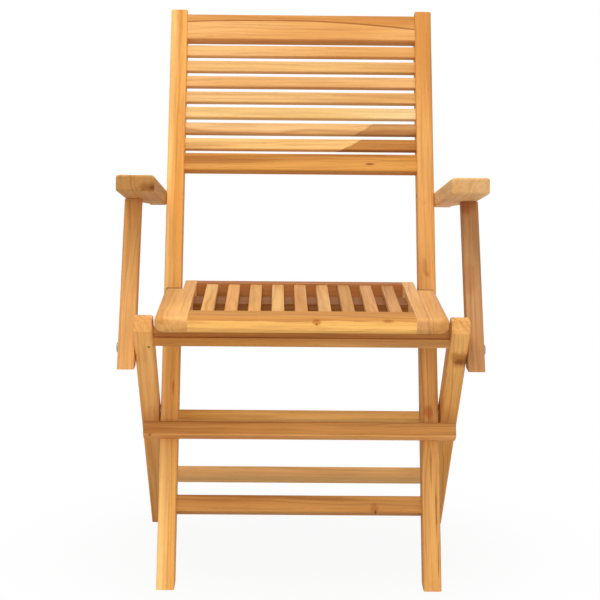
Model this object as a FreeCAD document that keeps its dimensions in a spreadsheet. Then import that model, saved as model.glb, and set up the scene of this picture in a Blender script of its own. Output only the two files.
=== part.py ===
# Folding teak armchair with a slatted back and seat.
# X runs across the chair, -Y is its front and +Z is up, in millimetres.
# The origin is on the floor, under the middle of the open chair.
import FreeCAD, Part
import Sketcher
import os
import re

BACK_SLATS = 7
SEAT_SLATS = 9
SIDES = {"left": -1, "right": 1}
ACROSS = FreeCAD.Vector(1, 0, 0)

# The driving sizes, in millimetres and degrees
SIZES = [
    ("post_lean", 27.4, "lean of the posts back from upright, degrees"),
    ("post_inner", 194, "middle of the chair to a post's inner face"),
    ("post_thick", 28, "post across the chair"),
    ("post_depth", 44, "post from front face to rear face"),
    ("post_horn", 8, "post above the top rail"),
    ("edge_round", 3, "eased long edges of posts, legs and rails"),
    ("tenon_depth", 14, "tenon into its mortise"),
    ("tenon_shoulder", 3.5, "shoulder all round a tenon"),
    ("mortise_spare", 0.5, "mortise deeper than its tenon"),
    ("bottom_rail_up", 706, "foot to lower edge of the back's bottom rail"),
    ("bottom_rail_high", 31, "bottom rail along the post"),
    ("bottom_rail_thick", 20, "bottom rail front to rear"),
    ("bottom_rail_inset", 4, "bottom rail behind the posts' front"),
    ("back_slat_high", 20, "back slat along the post"),
    ("back_slat_thick", 12, "back slat front to rear"),
    ("back_slat_inset", 8, "back slat behind the posts' front"),
    ("back_slat_round", 2.5, "eased edges of a back slat"),
    ("back_slat_gap", 8.6, "space between back slats"),
    ("top_rail_high", 47, "top rail along the post"),
    ("top_rail_thick", 23, "top rail front to rear"),
    ("top_rail_inset", 2, "top rail behind the posts' front"),
    ("low_rail_up", 126, "foot to lower edge of the low stretcher"),
    ("low_rail_high", 28, "low stretcher along the post"),
    ("low_rail_thick", 22, "low stretcher front to rear"),
    ("low_rail_inset", 8, "low stretcher behind the posts' front"),
    ("stop_bar_up", 241.5, "foot to lower edge of the stop bar"),
    ("stop_bar_high", 23.5, "stop bar along the post"),
    ("stop_bar_thick", 26, "stop bar in front of the posts"),
    ("stop_bar_short", 5.5, "legs' outer faces in to the ends of the stop bar"),
    ("pivot_up", 295.6, "foot to the crossing of post and leg, along the post"),
    ("leg_lean", 47.4, "lean of the legs forward from upright, degrees"),
    ("leg_play", 2.5, "space between post and leg"),
    ("leg_thick", 28.5, "leg across the chair"),
    ("leg_depth", 38, "leg from lower face to upper face"),
    ("leg_top_drop", 5, "top of the seat down to the level top of a leg"),
    ("leg_nose", 20, "upright front end of a leg's top"),
    ("crossbar_front", 175, "crossing forward to the crossbar's front face"),
    ("crossbar_thick", 20, "crossbar front to rear"),
    ("crossbar_high", 28, "crossbar height"),
    ("rebate_high", 14.5, "height of the rebate in the crossbar's upper front edge"),
    ("rebate_deep", 7, "rebate front to rear"),
    ("crossbar_drop", 0.4, "space from the seat down to the crossbar"),
    ("upper_rung_down", 58, "crossing to the upper rung, down the leg"),
    ("upper_rung_high", 26, "upper rung along the leg"),
    ("upper_rung_thick", 18, "upper rung behind the leg"),
    ("lower_rung_down", 198, "crossing to the lower rung, down the leg"),
    ("lower_rung_high", 25, "lower rung along the leg"),
    ("lower_rung_thick", 20, "lower rung through the leg's depth"),
    ("lower_rung_inset", 8, "lower rung above the leg's lower face"),
    ("seat_height", 440, "floor to the top of the seat"),
    ("seat_reach", 293, "posts' front face forward to the seat's front edge"),
    ("seat_tail", 90, "posts' front face back to the seat's rear edge"),
    ("seat_thick", 24, "thickness of the seat frame"),
    ("seat_leg_play", 3.5, "space between the seat's outer edge and the leg"),
    ("seat_post_play", 3.5, "space between the tongue of a side rail and the post"),
    ("seat_tongue_wide", 19.5, "width of a side rail's tongue"),
    ("seat_nose_round", 9, "rounded front edge of the seat"),
    ("seat_corner_round", 20, "rounded front corner of the seat"),
    ("seat_front_deep", 65, "front rail from front to rear"),
    ("seat_rear_deep", 33, "rear rail from front to rear"),
    ("seat_slat_wide", 19.5, "seat slat across the chair"),
    ("seat_slat_thick", 10, "thickness of a seat slat"),
    ("seat_slat_sunk", 1.5, "seat slat below the frame's top"),
    ("seat_slat_round", 2, "eased edges of a seat slat"),
    ("slat_tenon_shoulder", 2.5, "shoulder round a slat's tenon"),
    ("slat_tenon_depth", 10, "slat's tenon into its rail"),
    ("batten_back", 37, "middle of the seat's opening back to the batten"),
    ("batten_deep", 75, "batten front to rear"),
    ("arm_pivot_up", 662, "foot to the arm's pivot, along the post"),
    ("arm_pivot_in", 20, "posts' front face to the arm's pivot"),
    ("arm_slope", 9.3, "slope of the arm down to the rear, degrees"),
    ("arm_reach", 351, "pivot forward to the front end of the arm"),
    ("arm_thick", 25, "thickness of the arm"),
    ("arm_play", 0.4, "space between post and arm"),
    ("arm_outer", 280, "middle of the chair to the arm's outer edge"),
    ("arm_tail_wide", 27, "width of the arm at its pivot"),
    ("arm_taper_from", 118, "pivot forward to the start of the taper"),
    ("arm_taper_to", 24, "pivot forward to the end of the taper"),
    ("arm_corner_round", 8, "rounded front corners of the arm"),
    ("arm_edge_round", 4, "rounded edges of the arm"),
    ("strut_lean", 35.2, "lean of the arm's strut back from upright, degrees"),
    ("strut_bolt_up", 187, "crossing to the strut's bolt, up the leg"),
    ("strut_play", 0.5, "space between leg and strut"),
    ("strut_thick", 26, "strut across the chair"),
    ("strut_depth", 35, "strut from front face to rear face"),
    ("strut_tail", 27, "bolt down to the strut's level lower end"),
    ("strut_top_gap", 0.4, "space between strut and arm"),
    ("bolt_radius", 4, "shank of a pivot bolt"),
    ("bolt_play", 0.05, "running clearance round a shank"),
    ("bolt_head_radius", 8, "domed head of a pivot bolt"),
    ("bolt_head_high", 2.8, "height of a domed head"),
    ("bolt_head_round", 2.3, "dome of a bolt head"),
    ("head_recess", 3.2, "recess in the leg's outer face for a bolt head"),
    ("head_recess_play", 0.6, "space round a head in its recess"),
    ("bolt_seat_gap", 0.2, "space under a head, nut or washer"),
    ("bolt_end", 1.5, "bolt beyond its nut"),
    ("nut_corner_radius", 7.5, "nut from axis to corner"),
    ("nut_thick", 6, "thickness of a nut"),
    ("nut_recess", 8, "recess in the post's inner face for a nut"),
    ("nut_recess_play", 1.5, "space round a nut's corners in its recess"),
    ("washer_radius", 9, "washer between post and leg"),
    ("hinge_knuckle", 2.5, "radius of a hinge's knuckles"),
    ("hinge_pin", 1.3, "radius of a hinge's pin"),
    ("hinge_offset", 2.8, "hinge axis to the face that a leaf lies on"),
    ("hinge_leaf_thick", 2.3, "thickness of a hinge leaf"),
    ("hinge_leaf_long", 18, "hinge axis to the end of a leaf"),
    ("hinge_wide", 22, "width of a hinge"),
    ("hinge_gap", 0.25, "space beside and round a knuckle"),
    ("hinge_drop", 1, "seat's top down to its hinge axis"),
]

# Places that follow from the sizes
PLACES = [
    ("slat_step", "back_slat_high + back_slat_gap"),
    ("first_slat_up", "bottom_rail_up + bottom_rail_high + back_slat_gap"),
    ("top_rail_up", "first_slat_up + slats * slat_step"),
    ("post_length", "top_rail_up + top_rail_high + post_horn"),
    ("post_outer", "post_inner + post_thick"),
    ("leg_inner", "post_outer + leg_play"),
    ("leg_outer", "leg_inner + leg_thick"),
    ("seat_half", "leg_inner - seat_leg_play"),
    ("seat_tongue_outer", "post_inner - seat_post_play"),
    ("seat_rail_inner", "seat_tongue_outer - seat_tongue_wide"),
    ("seat_gap", "(2 * seat_rail_inner - seat_slats * seat_slat_wide) / (seat_slats + 1)"),
    ("seat_slat_pitch", "seat_slat_wide + seat_gap"),
    ("seat_post", "seat_height * tan(post_lean)"),
    ("front_edge", "seat_post - seat_reach"),
    ("post_turn", "edge_round * (1 - sin(post_lean) - cos(post_lean))"),
    ("rear_edge", "post_length * sin(post_lean) + post_depth * cos(post_lean) + post_turn"),
    ("foot_y", "-(front_edge + rear_edge) / 2"),
    ("seat_y", "foot_y + seat_post"),
    ("pivot_y", "foot_y + pivot_up * sin(post_lean) + post_depth / 2 * cos(post_lean)"),
    ("pivot_z", "pivot_up * cos(post_lean) - post_depth / 2 * sin(post_lean)"),
    ("arm_y", "foot_y + arm_pivot_up * sin(post_lean) + arm_pivot_in * cos(post_lean)"),
    ("arm_z", "arm_pivot_up * cos(post_lean) - arm_pivot_in * sin(post_lean)"),
    ("arm_inner", "post_outer + arm_play"),
    ("arm_tail_outer", "arm_inner + arm_tail_wide"),
    ("strut_y", "pivot_y - strut_bolt_up * sin(leg_lean)"),
    ("strut_z", "pivot_z + strut_bolt_up * cos(leg_lean)"),
    ("strut_inner", "leg_outer + strut_play"),
    ("strut_outer", "strut_inner + strut_thick"),
    ("strut_half", "strut_depth / 2 / cos(strut_lean)"),
    ("arm_under", "(arm_thick / 2 + strut_top_gap) / cos(arm_slope)"),
    ("arm_rise", "arm_z - strut_z + (arm_y - strut_y) * tan(arm_slope)"),
    ("meet", "1 + tan(strut_lean) * tan(arm_slope)"),
    ("strut_top_front", "(arm_rise - arm_under + strut_half * tan(arm_slope)) / meet"),
    ("strut_top_rear", "(arm_rise - arm_under - strut_half * tan(arm_slope)) / meet"),
    ("hinge_behind", "(strut_depth / 2 + hinge_offset) / cos(strut_lean)"),
    ("hinge_below", "(arm_thick / 2 + hinge_offset) / cos(arm_slope)"),
    ("arm_hinge_rise", "(arm_rise - hinge_below - hinge_behind * tan(arm_slope)) / meet"),
    ("arm_hinge_z", "strut_z + arm_hinge_rise"),
    ("arm_hinge_y", "strut_y + arm_hinge_rise * tan(strut_lean) + hinge_behind"),
    ("seat_hinge_z", "seat_height - hinge_drop"),
    ("seat_hinge_y", "seat_y - hinge_drop * tan(post_lean) - hinge_offset / cos(post_lean)"),
    ("shoulder", "2 * hinge_offset / cos(post_lean)"),
    ("leg_top_up", "seat_height - leg_top_drop - pivot_z"),
    ("leg_half", "leg_depth / 2"),
    ("nose_up", "(leg_top_up - leg_nose + leg_half * sin(leg_lean)) / cos(leg_lean)"),
    ("crossbar_up", "seat_height - seat_thick - crossbar_drop - crossbar_high - pivot_z"),
    ("slat_front", "seat_front_deep - seat_reach"),
    ("slat_rear", "seat_tail - seat_rear_deep"),
    ("slat_low", "-seat_slat_sunk - seat_slat_thick"),
    ("batten_front", "(slat_front + slat_rear) / 2 + batten_back - batten_deep / 2"),
    ("bolt_hole", "bolt_radius + bolt_play"),
    ("nut_seat", "post_inner + nut_recess - bolt_seat_gap"),
    ("nut_recess_radius", "nut_corner_radius + nut_recess_play"),
    ("knuckle_wide", "(hinge_wide - 2 * hinge_gap) / 3"),
    ("seat_hinge_x", "(seat_tongue_outer + seat_half) / 2 + 1"),
    ("strut_hinge_x", "(strut_inner + strut_outer) / 2"),
]

doc = FreeCAD.newDocument("FoldingTeakArmchair")
sizes = doc.addObject("Spreadsheet::Sheet", "Sizes")
for row, (alias, number, meaning) in enumerate(SIZES, 1):
    sizes.set("A%d" % row, meaning)
    sizes.set("B%d" % row, str(number))
    sizes.setAlias("B%d" % row, alias)
doc.recompute()
owner = {alias: "Sizes." + alias for alias, number, meaning in SIZES}
owner["slats"] = str(BACK_SLATS)
owner["seat_slats"] = str(SEAT_SLATS)


def full(expression):
    """Give each size and place in an expression the name of the object that holds it."""
    return re.sub(r"[a-z_]+", lambda word: owner.get(word.group(), word.group()), expression)


places = doc.addObject("App::VarSet", "Places")
for name, expression in PLACES:
    places.addProperty("App::PropertyFloat", name, "Places", expression)
    places.setExpression(name, full(expression))
    owner[name] = "Places." + name
    doc.recompute()


def number(expression):
    """Today's value of an expression of sizes and places."""
    return float(places.evalExpression(full(expression)))


def mirrored(side, expression):
    """An expression for the right side, with its sign changed for the left."""
    return expression if SIDES[side] > 0 else "-(%s)" % expression


def new_piece(label, y, z, tilt=None, lean=1):
    """A body whose own origin stands at y, z and whose own Z leans back (1) or forward (-1)."""
    body = doc.addObject("PartDesign::Body", label)
    body.Label = label
    body.Placement = FreeCAD.Placement(FreeCAD.Vector(), FreeCAD.Rotation(ACROSS * -lean, 1 if tilt else 0))
    body.setExpression("Placement.Base.y", full(y))
    body.setExpression("Placement.Base.z", full(z))
    if tilt:
        body.setExpression("Placement.Rotation.Angle", full(tilt))
    return body


def new_sketch(body, name, plane, offset="0"):
    """A sketch on one of the body's own planes, moved along the plane's normal."""
    sketch = body.newObject("Sketcher::SketchObject", body.Name + "_" + name)
    support = [item for item in body.Origin.OriginFeatures if item.Role == plane + "_Plane"]
    sketch.AttachmentSupport = [(support[0], "")]
    sketch.MapMode = "FlatFace"
    sketch.setExpression("AttachmentOffset.Base.z", full(offset))
    return sketch


def tie(sketch, kind, geometry, point, expression):
    """Bind one coordinate of a point, or a radius, to an expression."""
    value = number(expression)
    if kind == "Radius":
        constraint = Sketcher.Constraint(kind, geometry, value)
    else:
        constraint = Sketcher.Constraint(kind, -1, 1, geometry, point, value)
    index = sketch.addConstraint(constraint)
    name = "%s_%d" % (kind.lower(), index)
    sketch.renameConstraint(index, name)
    sketch.setExpression("Constraints." + name, full(expression))


def add_loop(sketch, corners):
    """A closed outline of straight edges through corners given as pairs of expressions."""
    points = [FreeCAD.Vector(number(x), number(y), 0) for x, y in corners]
    first = sketch.GeometryCount
    count = len(corners)
    for index in range(count):
        sketch.addGeometry(Part.LineSegment(points[index], points[(index + 1) % count]), False)
    for index in range(count):
        following = first + (index + 1) % count
        sketch.addConstraint(Sketcher.Constraint("Coincident", first + index, 2, following, 1))
    for index, (x, y) in enumerate(corners):
        tie(sketch, "DistanceX", first + index, 1, x)
        tie(sketch, "DistanceY", first + index, 1, y)


def add_box(sketch, x_low, x_high, y_low, y_high):
    """A rectangle between four expressions."""
    add_loop(sketch, [(x_low, y_low), (x_high, y_low), (x_high, y_high), (x_low, y_high)])


def add_circle(sketch, x, y, radius):
    """A circle whose centre and radius are expressions."""
    centre = FreeCAD.Vector(number(x), number(y), 0)
    index = sketch.addGeometry(Part.Circle(centre, FreeCAD.Vector(0, 0, 1), number(radius)), False)
    tie(sketch, "DistanceX", index, 3, x)
    tie(sketch, "DistanceY", index, 3, y)
    tie(sketch, "Radius", index, 0, radius)


def pad(body, sketch, length, back=False):
    """Raise a sketch along its plane's normal, or backwards."""
    feature = body.newObject("PartDesign::Pad", sketch.Name + "_pad")
    feature.Profile = sketch
    feature.setExpression("Length", full(length))
    feature.Reversed = back
    doc.recompute()
    return feature


def cut(body, sketch, length, along_normal):
    """Sink a sketch into the body and make sure that it removed wood or metal."""
    before = body.Shape.Volume
    feature = body.newObject("PartDesign::Pocket", sketch.Name + "_pocket")
    feature.Profile = sketch
    feature.setExpression("Length", full(length))
    feature.Reversed = along_normal
    doc.recompute()
    if body.Shape.Volume > before - 0.01:
        raise RuntimeError(sketch.Name + " cut nothing")


def soften(body, name, radius, chosen):
    """Round the edges that the function picks."""
    base = body.Tip
    edges = ["Edge%d" % place for place, edge in enumerate(base.Shape.Edges, 1) if chosen(edge)]
    feature = body.newObject("PartDesign::Fillet", body.Name + "_" + name)
    feature.Base = (base, edges)
    feature.setExpression("Radius", full(radius))
    doc.recompute()


def runs_along(edge, direction):
    """Whether an edge is straight and parallel to a direction."""
    if not isinstance(edge.Curve, (Part.Line, Part.LineSegment)):
        return False
    return edge.tangentAt(edge.FirstParameter).cross(direction).Length < 1e-6


def drill(body, radius, y="0", z="0"):
    """A round hole right across the body, along X."""
    sketch = new_sketch(body, "hole", "YZ", "-400")
    add_circle(sketch, y, z, radius)
    cut(body, sketch, "800", True)


def inner_mortises(body, side, face, boxes):
    """Mortises in the inner face of an upright, for the tenons of rails given as sections."""
    sketch = new_sketch(body, "mortises", "YZ", mirrored(side, face))
    for corners in boxes:
        add_loop(sketch, corners)
    cut(body, sketch, "tenon_depth + mortise_spare", SIDES[side] > 0)


def section(y, thick, z, high, shoulder="0"):
    """The four corners of a rail's section, drawn in by its tenon's shoulder."""
    y_low = "%s + %s" % (y, shoulder)
    y_high = "%s + %s - %s" % (y, thick, shoulder)
    z_low = "%s + %s" % (z, shoulder)
    z_high = "%s + %s - %s" % (z, high, shoulder)
    return [(y_low, z_low), (y_high, z_low), (y_high, z_high), (y_low, z_high)]


def rail(body, half, corners, tenon_corners, radius):
    """A rail between two faces at plus and minus half, with a tenon on each end."""
    sketch = new_sketch(body, "section", "YZ", "-(%s)" % half)
    add_loop(sketch, corners)
    pad(body, sketch, "2 * (%s)" % half)
    soften(body, "eased", radius, lambda edge: runs_along(edge, ACROSS))
    if tenon_corners:
        tenon = new_sketch(body, "tenon", "YZ", "-(%s + tenon_depth)" % half)
        add_loop(tenon, tenon_corners)
        pad(body, tenon, "2 * (%s + tenon_depth)" % half)
    return body


# The back frame's rails lie along the posts: own Y is depth behind the front, own Z runs up.
BACK_RAILS = {
    "back_top_rail": ("top_rail_inset", "top_rail_thick", "top_rail_up", "top_rail_high"),
    "back_bottom_rail": ("bottom_rail_inset", "bottom_rail_thick", "bottom_rail_up", "bottom_rail_high"),
    "low_stretcher": ("low_rail_inset", "low_rail_thick", "low_rail_up", "low_rail_high"),
}
for count in range(BACK_SLATS):
    lower_edge = "first_slat_up + %d * slat_step" % count
    BACK_RAILS["back_slat_%d" % (count + 1)] = (
        "back_slat_inset", "back_slat_thick", lower_edge, "back_slat_high")


def post(side):
    """A post in one piece from front foot to back top, mortised for every rail of the back."""
    body = new_piece("post_" + side, "foot_y", "0", "post_lean")
    outline = new_sketch(body, "outline", "YZ", mirrored(side, "post_inner"))
    foot = ("post_depth", "post_depth * tan(post_lean)")
    add_loop(outline, [("0", "0"), foot, ("post_depth", "post_length"), ("0", "post_length")])
    pad(body, outline, "post_thick", SIDES[side] < 0)
    top = number("post_length") - 0.01
    upward = FreeCAD.Vector(0, 0, 1)
    soften(body, "eased", "edge_round",
           lambda edge: runs_along(edge, upward) or edge.CenterOfMass.z > top)
    mortises = []
    for label, (y, thick, z, high) in BACK_RAILS.items():
        shoulder = "slat_tenon_shoulder" if "slat" in label else "tenon_shoulder"
        mortises.append(section(y, thick, z, high, shoulder))
    inner_mortises(body, side, "post_inner", mortises)
    holes = new_sketch(body, "holes", "YZ", mirrored(side, "post_inner"))
    add_circle(holes, "post_depth / 2", "pivot_up", "bolt_hole")
    add_circle(holes, "arm_pivot_in", "arm_pivot_up", "bolt_hole")
    cut(body, holes, "post_thick", SIDES[side] > 0)
    recesses = new_sketch(body, "nut_recesses", "YZ", mirrored(side, "post_inner"))
    add_circle(recesses, "post_depth / 2", "pivot_up", "nut_recess_radius")
    add_circle(recesses, "arm_pivot_in", "arm_pivot_up", "nut_recess_radius")
    cut(body, recesses, "nut_recess", SIDES[side] > 0)
    return body


def back_rail(label):
    """A rail or slat of the back, tenoned into both posts."""
    y, thick, z, high = BACK_RAILS[label]
    slat = "slat" in label
    shoulder = "slat_tenon_shoulder" if slat else "tenon_shoulder"
    body = new_piece(label, "foot_y", "0", "post_lean")
    corners = section(y, thick, z, high)
    tenon = section(y, thick, z, high, shoulder)
    return rail(body, "post_inner", corners, tenon, "back_slat_round" if slat else "edge_round")


def stop_bar():
    """The bar across the posts' front faces, which the folded legs come to rest behind."""
    body = new_piece("stop_bar", "foot_y", "0", "post_lean")
    corners = section("-stop_bar_thick", "stop_bar_thick", "stop_bar_up", "stop_bar_high")
    return rail(body, "leg_outer - stop_bar_short", corners, None, "edge_round")


def in_leg(y, z):
    """Own coordinates in the leaning leg of a point given level and upright from the crossing."""
    own_y = "(%s) * cos(leg_lean) + (%s) * sin(leg_lean)" % (y, z)
    own_z = "(%s) * cos(leg_lean) - (%s) * sin(leg_lean)" % (z, y)
    return own_y, own_z


def crossbar_corners(shoulder="0"):
    """The crossbar's section, level under the seat, in the leg's own coordinates."""
    level = section("-crossbar_front", "crossbar_thick", "crossbar_up", "crossbar_high", shoulder)
    return [in_leg(y, z) for y, z in level]


LOWER_RUNG = ("lower_rung_inset - leg_half", "lower_rung_thick",
              "-lower_rung_down - lower_rung_high", "lower_rung_high")


def leg(side):
    """A leg from rear foot to seat front: level foot, level top and an upright nose."""
    body = new_piece("leg_" + side, "pivot_y", "pivot_z", "leg_lean", -1)
    outline = new_sketch(body, "outline", "YZ", mirrored(side, "leg_inner"))
    foot_front = "(-pivot_z + leg_half * sin(leg_lean)) / cos(leg_lean)"
    foot_rear = "(-pivot_z - leg_half * sin(leg_lean)) / cos(leg_lean)"
    top_rear = "(leg_top_up - leg_half * sin(leg_lean)) / cos(leg_lean)"
    nose_top = ("leg_nose * sin(leg_lean) - leg_half", "nose_up + leg_nose * cos(leg_lean)")
    add_loop(outline, [("-leg_half", foot_front), ("leg_half", foot_rear), ("leg_half", top_rear),
                       nose_top, ("-leg_half", "nose_up")])
    pad(body, outline, "leg_thick", SIDES[side] < 0)
    above_foot = number(foot_front) + 1
    soften(body, "eased", "edge_round",
           lambda edge: edge.CenterOfMass.z > above_foot or runs_along(edge, FreeCAD.Vector(0, 0, 1)))
    mortises = [crossbar_corners("tenon_shoulder"), section(*LOWER_RUNG, "tenon_shoulder")]
    inner_mortises(body, side, "leg_inner", mortises)
    drill(body, "bolt_hole")
    recess = new_sketch(body, "head_recess", "YZ", mirrored(side, "leg_outer"))
    add_circle(recess, "0", "0", "bolt_head_radius + head_recess_play")
    cut(body, recess, "head_recess", SIDES[side] < 0)
    return body


def leg_crossbar():
    """The bar between the legs' tops that carries the front of the seat, rebated below it."""
    body = new_piece("leg_crossbar", "pivot_y", "pivot_z", "leg_lean", -1)
    rail(body, "leg_inner", crossbar_corners(), crossbar_corners("tenon_shoulder"), "edge_round")
    front, back = "-crossbar_front - 1", "rebate_deep - crossbar_front"
    low, high = "crossbar_up + crossbar_high - rebate_high", "crossbar_up + crossbar_high + 1"
    rebate = new_sketch(body, "rebate", "YZ", "-leg_inner")
    add_loop(rebate, [in_leg(y, z) for y, z in [(front, low), (back, low), (back, high), (front, high)]])
    cut(body, rebate, "2 * leg_inner", True)
    return body


def leg_upper_rung():
    """The rung lapped across the legs' upper faces, behind the posts."""
    body = new_piece("leg_upper_rung", "pivot_y", "pivot_z", "leg_lean", -1)
    corners = section("leg_half", "upper_rung_thick", "-upper_rung_down - upper_rung_high",
                      "upper_rung_high")
    return rail(body, "leg_outer", corners, None, "edge_round")


def leg_lower_rung():
    """The rung tenoned between the legs near the rear feet."""
    body = new_piece("leg_lower_rung", "pivot_y", "pivot_z", "leg_lean", -1)
    return rail(body, "leg_inner", section(*LOWER_RUNG), section(*LOWER_RUNG, "tenon_shoulder"),
                "edge_round")


# The seat's own origin is at its top, on the line of the posts' front faces.
SEAT_RAILS = {
    "seat_front_rail": ("-seat_reach", "seat_front_deep", "-seat_thick", "seat_thick"),
    "seat_rear_rail": ("slat_rear", "seat_rear_deep", "-seat_thick", "seat_thick"),
    "seat_batten": ("batten_front", "batten_deep", "-seat_thick", "seat_thick + slat_low"),
}


def seat_shoulder(z):
    """How far forward the notch for a post reaches at a height in the seat."""
    return "(%s) * tan(post_lean) - shoulder" % z


def seat_side_rail(side):
    """A side rail, notched behind to pass the post with a tongue inside it."""
    body = new_piece("seat_side_rail_" + side, "seat_y", "seat_height")
    plan = new_sketch(body, "plan", "XY", "-seat_thick")
    inner, outer = mirrored(side, "seat_rail_inner"), mirrored(side, "seat_half")
    add_box(plan, inner, outer, "-seat_reach", "seat_tail")
    pad(body, plan, "seat_thick")
    front = -number("seat_reach") + 0.01
    edge_x = number("seat_half") - 0.01
    soften(body, "corner", "seat_corner_round",
           lambda edge: edge.CenterOfMass.y < front and abs(edge.CenterOfMass.x) > edge_x
           and runs_along(edge, FreeCAD.Vector(0, 0, 1)))
    inside = number("seat_rail_inner") + 0.01
    soften(body, "nose", "seat_nose_round",
           lambda edge: abs(edge.CenterOfMass.x) > inside
           and edge.CenterOfMass.y < number("seat_tail") - 0.01
           and abs(edge.CenterOfMass.z + number("seat_thick") / 2) > 0.01)
    notch = new_sketch(body, "notch", "YZ", mirrored(side, "seat_tongue_outer"))
    below = "-seat_thick - 1"
    add_loop(notch, [(seat_shoulder("1"), "1"), ("seat_tail + 1", "1"),
                     ("seat_tail + 1", below), (seat_shoulder(below), below)])
    cut(body, notch, "seat_half", SIDES[side] > 0)
    mortises = [section(*SEAT_RAILS[label], "tenon_shoulder") for label in SEAT_RAILS]
    inner_mortises(body, side, "seat_rail_inner", mortises)
    return body


def slat_x(count):
    """The middle of a seat slat across the chair."""
    return "%d * seat_slat_pitch" % (count - (SEAT_SLATS - 1) // 2)


def slat_box(count, shoulder="0"):
    """The sides of a seat slat's section: left, right, lower and upper."""
    x = slat_x(count)
    return ("%s - seat_slat_wide / 2 + %s" % (x, shoulder), "%s + seat_slat_wide / 2 - %s" % (x, shoulder),
            "slat_low + %s" % shoulder, "-seat_slat_sunk - %s" % shoulder)


def seat_rail(label):
    """A front or rear rail or the batten of the seat, tenoned into the side rails."""
    body = new_piece(label, "seat_y", "seat_height")
    corners = section(*SEAT_RAILS[label])
    sketch = new_sketch(body, "section", "YZ", "-seat_rail_inner")
    add_loop(sketch, corners)
    pad(body, sketch, "2 * seat_rail_inner")
    front, radius = number(corners[0][0]) + 0.01, "edge_round"
    if label == "seat_front_rail":
        radius = "seat_nose_round"
        soften(body, "nose", radius,
               lambda edge: runs_along(edge, ACROSS) and edge.CenterOfMass.y < front)
    elif label == "seat_rear_rail":
        soften(body, "eased", radius,
               lambda edge: runs_along(edge, ACROSS) and edge.CenterOfMass.y > front)
    tenon = new_sketch(body, "tenon", "YZ", "-(seat_rail_inner + tenon_depth)")
    add_loop(tenon, section(*SEAT_RAILS[label], "tenon_shoulder"))
    pad(body, tenon, "2 * (seat_rail_inner + tenon_depth)")
    if label != "seat_batten":
        front_rail = label == "seat_front_rail"
        mortises = new_sketch(body, "mortises", "XZ", "-slat_front" if front_rail else "-slat_rear")
        for count in range(SEAT_SLATS):
            add_box(mortises, *slat_box(count, "slat_tenon_shoulder"))
        cut(body, mortises, "slat_tenon_depth + mortise_spare", front_rail)
    return body


def seat_slat(count):
    """A slat of the seat, tenoned into the front and rear rails and lying on the batten."""
    body = new_piece("seat_slat_%d" % (count + 1), "seat_y", "seat_height")
    sketch = new_sketch(body, "section", "XZ", "-slat_rear")
    add_box(sketch, *slat_box(count))
    pad(body, sketch, "slat_rear - slat_front")
    soften(body, "eased", "seat_slat_round", lambda edge: runs_along(edge, FreeCAD.Vector(0, 1, 0)))
    tenon = new_sketch(body, "tenon", "XZ", "-slat_rear - slat_tenon_depth")
    add_box(tenon, *slat_box(count, "slat_tenon_shoulder"))
    pad(body, tenon, "slat_rear - slat_front + 2 * slat_tenon_depth")
    return body


def arm(side):
    """An armrest: a board that narrows behind its strut to a round end on the post."""
    body = new_piece("arm_" + side, "arm_y", "arm_z", "arm_slope")
    profile = new_sketch(body, "profile", "YZ", mirrored(side, "arm_inner"))
    add_box(profile, "-arm_reach", "arm_thick / 2", "-arm_thick / 2", "arm_thick / 2")
    pad(body, profile, "arm_outer - arm_inner", SIDES[side] < 0)
    waste = new_sketch(body, "waste", "XY", "-arm_thick / 2 - 1")
    wide, narrow = mirrored(side, "arm_outer"), mirrored(side, "arm_tail_outer")
    beyond = mirrored(side, "arm_outer + 1")
    add_loop(waste, [(wide, "-arm_taper_from"), (narrow, "-arm_taper_to"), (narrow, "arm_thick / 2 + 1"),
                     (beyond, "arm_thick / 2 + 1"), (beyond, "-arm_taper_from")])
    cut(body, waste, "arm_thick + 2", True)
    rear = number("arm_thick") / 2 - 0.01
    soften(body, "round_end", "arm_thick / 2 - 0.05",
           lambda edge: edge.CenterOfMass.y > rear and runs_along(edge, ACROSS))
    front = -number("arm_reach") + 0.01
    soften(body, "corners", "arm_corner_round",
           lambda edge: edge.CenterOfMass.y < front and runs_along(edge, FreeCAD.Vector(0, 0, 1)))
    middle = number("arm_thick") / 2 - 0.01
    start = -number("arm_taper_to") - 1
    soften(body, "edges", "arm_edge_round",
           lambda edge: abs(edge.CenterOfMass.z) > middle and edge.CenterOfMass.y < start)
    drill(body, "bolt_hole")
    return body


def strut(side):
    """The strut that props an armrest on the leg, cut level below and to the arm above."""
    body = new_piece("arm_strut_" + side, "strut_y", "strut_z")
    outline = new_sketch(body, "outline", "YZ", mirrored(side, "strut_inner"))
    heights = [("-strut_tail", "-strut_half"), ("-strut_tail", "strut_half"),
               ("strut_top_rear", "strut_half"), ("strut_top_front", "-strut_half")]
    add_loop(outline, [("%s * tan(strut_lean) + %s" % (z, half), z) for z, half in heights])
    pad(body, outline, "strut_outer - strut_inner", SIDES[side] < 0)
    soften(body, "eased", "edge_round", lambda edge: not runs_along(edge, ACROSS)
           and abs(edge.tangentAt(edge.FirstParameter).z) > 0.5)
    drill(body, "bolt_hole")
    return body


def bolt(label, y, z, side, head, end):
    """A pivot bolt with a domed head: a turned shape about the X axis."""
    body = new_piece(label, y, z)
    sketch = new_sketch(body, "half", "XY")
    under, top, far = [mirrored(side, place) for place in (head, head + " + bolt_head_high", end)]
    add_loop(sketch, [(far, "0"), (top, "0"), (top, "bolt_head_radius"), (under, "bolt_head_radius"),
                      (under, "bolt_radius"), (far, "bolt_radius")])
    turned = body.newObject("PartDesign::Revolution", label + "_turned")
    turned.Profile = sketch
    turned.ReferenceAxis = (sketch, ["H_Axis"])
    turned.Angle = 360
    doc.recompute()
    crown = abs(number(top)) - 0.01
    soften(body, "dome", "bolt_head_round",
           lambda edge: isinstance(edge.Curve, Part.Circle) and abs(edge.CenterOfMass.x) > crown)
    return body


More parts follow.
